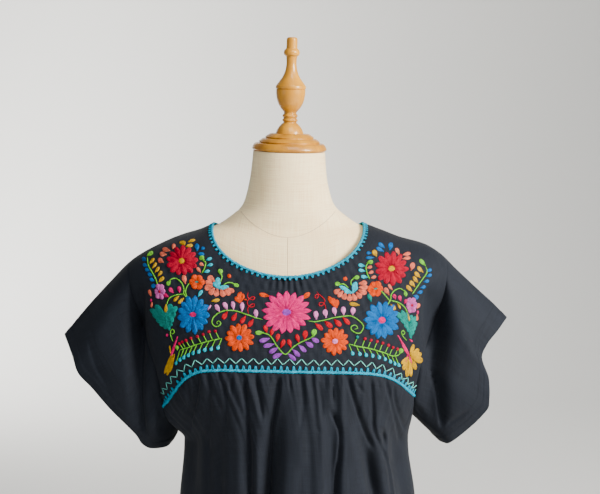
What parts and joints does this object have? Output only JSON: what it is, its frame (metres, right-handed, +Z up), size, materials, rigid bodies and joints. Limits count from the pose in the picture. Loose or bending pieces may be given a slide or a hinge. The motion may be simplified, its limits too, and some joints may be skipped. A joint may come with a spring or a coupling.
{
  "type": "embroidered blouse on a dress form",
  "caption": "Short-sleeved yoke blouse with a gathered body and raised edging cord, worn by a limbless dress form on a round stand.",
  "frame": {"origin": "centre of the stand's underside, on the floor", "axes": "+Z up along the stand; -Y is the front of the blouse; +X is the viewer's right, the wearer's left"},
  "size_m": [0.687, 0.315, 1.1611],
  "materials": {
    "cotton": "black plain-weave cotton, slightly faded on the folds",
    "thread": "bright cotton embroidery thread with a soft sheen",
    "linen": "natural linen stretched over the form",
    "turned_wood": "honey-coloured wood under clear gloss varnish"
  },
  "bodies": {
    "root": {"yoke_front": "cotton", "yoke_back": "cotton", "body_front": "cotton", "body_back": "cotton", "sleeve_right": "cotton", "sleeve_left": "cotton", "neck_edging": "thread", "yoke_edging": "thread", "form": "linen", "neck_cap": "turned_wood", "finial": "turned_wood", "board": "turned_wood", "pole": "turned_wood", "base": "turned_wood"}
  },
  "joints": []
}
